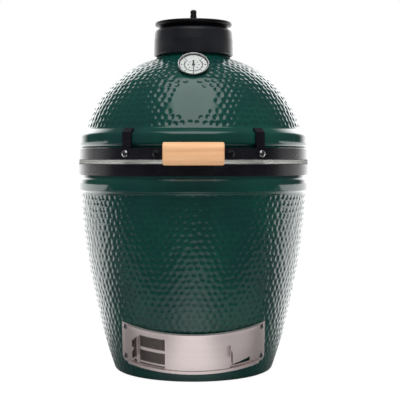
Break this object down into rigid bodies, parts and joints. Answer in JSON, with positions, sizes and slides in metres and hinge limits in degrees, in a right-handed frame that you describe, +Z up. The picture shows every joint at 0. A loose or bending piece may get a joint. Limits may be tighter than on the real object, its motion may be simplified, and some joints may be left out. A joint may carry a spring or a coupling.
{
  "type": "kamado grill",
  "caption": "Egg-shaped ceramic charcoal grill with a hinged dome, wooden handle, vented chimney cap, thermometer and a sliding draft door.",
  "frame": {"origin": "centre of the flat foot, on the surface it stands on", "axes": "+Z up, front with the handle and draft door towards -Y, +X to the right seen from the front"},
  "size_m": [0.466, 0.5609, 0.72],
  "materials": {
    "glaze": "glossy green glaze with dimples",
    "firebrick": "matt refractory ceramic",
    "cast_iron": "matt",
    "stainless": "brushed",
    "black_steel": "satin black powder coat",
    "felt": "pressed felt",
    "spring_steel": "black",
    "zinc": "zinc plated",
    "bright_bolt": "polished",
    "wood": "oiled",
    "cap_black": "satin",
    "seal": "matt silicone",
    "dial_white": "satin",
    "lens_glass": "clear",
    "pointer_black": "matt",
    "mesh_steel": "woven"
  },
  "bodies": {
    "base": {"base_shell": "glaze", "firebox": "firebrick", "fire_ring": "firebrick", "fire_grate": "cast_iron", "lower_band": "black_steel", "lower_gasket": "felt", "hinge_lower_bracket": "black_steel", "hinge_pin": "zinc", "hinge_pin_nuts": "zinc", "hinge_washers": "zinc", "hinge_lower_bolts": "zinc", "hinge_spring_left": "spring_steel", "hinge_spring_right": "spring_steel", "draft_frame": "stainless", "draft_screws": "bright_bolt"},
    "lid": {"dome_shell": "glaze", "upper_band": "black_steel", "upper_gasket": "felt", "hinge_upper_bracket": "black_steel", "hinge_upper_bolts": "zinc", "handle_bracket_left": "black_steel", "handle_bracket_right": "black_steel", "handle_arm_left": "black_steel", "handle_arm_right": "black_steel", "bracket_spacers": "black_steel", "bracket_bolts": "bright_bolt", "handle_grip": "wood", "handle_rod": "zinc", "grip_washers": "black_steel", "handle_rod_nuts": "black_steel", "chimney_collar": "cap_black", "collar_seal": "seal", "swing_pin": "cap_black", "thermometer_case": "pointer_black", "thermometer_bezel": "bright_bolt", "thermometer_dial": "dial_white", "thermometer_lens": "lens_glass", "thermometer_probe": "zinc", "probe_clip": "zinc"},
    "vent_plate": {"vent_plate": "cap_black"},
    "vent_rotor": {"vent_rotor": "cap_black", "knob_stud": "zinc", "knob_grip": "cap_black", "knob_nut": "cap_black"},
    "pointer": {"thermometer_pointer": "pointer_black"},
    "draft_door": {"draft_door": "stainless"},
    "ember_screen": {"ember_screen": "stainless", "ember_mesh": "mesh_steel"},
    "cooking_grid": {"cooking_grid": "stainless"}
  },
  "joints": [
    {"name": "lid_hinge", "type": "hinge", "parent": "base", "child": "lid", "pos_m": [0, 0.262, 0.4155], "axis": [-1, 0, 0], "range_deg": [0, 75], "stiffness_Nm_per_rad": 18, "springref_deg": 91.67, "deforming": ["hinge_spring_left", "hinge_spring_right"]},
    {"name": "cap_swing", "type": "hinge", "parent": "lid", "child": "vent_plate", "pos_m": [0, 0.061, 0.69], "axis": [0, 0, 1], "range_deg": [0, 95]},
    {"name": "vent_turn", "type": "hinge", "parent": "vent_plate", "child": "vent_rotor", "pos_m": [0, 0, 0.692], "axis": [0, 0, 1], "continuous": true},
    {"name": "pointer_turn", "type": "hinge", "parent": "lid", "child": "pointer", "pos_m": [0, -0.146, 0.6006], "axis": [0, 0.7547, -0.6561], "range_deg": [0, 310]},
    {"name": "door_slide", "type": "hinge", "parent": "base", "child": "draft_door", "pos_m": [0, 0, 0.1127], "axis": [0, -0.2924, 0.9563], "range_deg": [-1, 19]},
    {"name": "screen_slide", "type": "hinge", "parent": "base", "child": "ember_screen", "pos_m": [0, 0, 0.1127], "axis": [0, -0.2924, 0.9563], "range_deg": [0, 14]},
    {"name": "grid_lift", "type": "slide", "parent": "base", "child": "cooking_grid", "axis": [0, 0, 1], "range_m": [0, 0.035]}
  ]
}
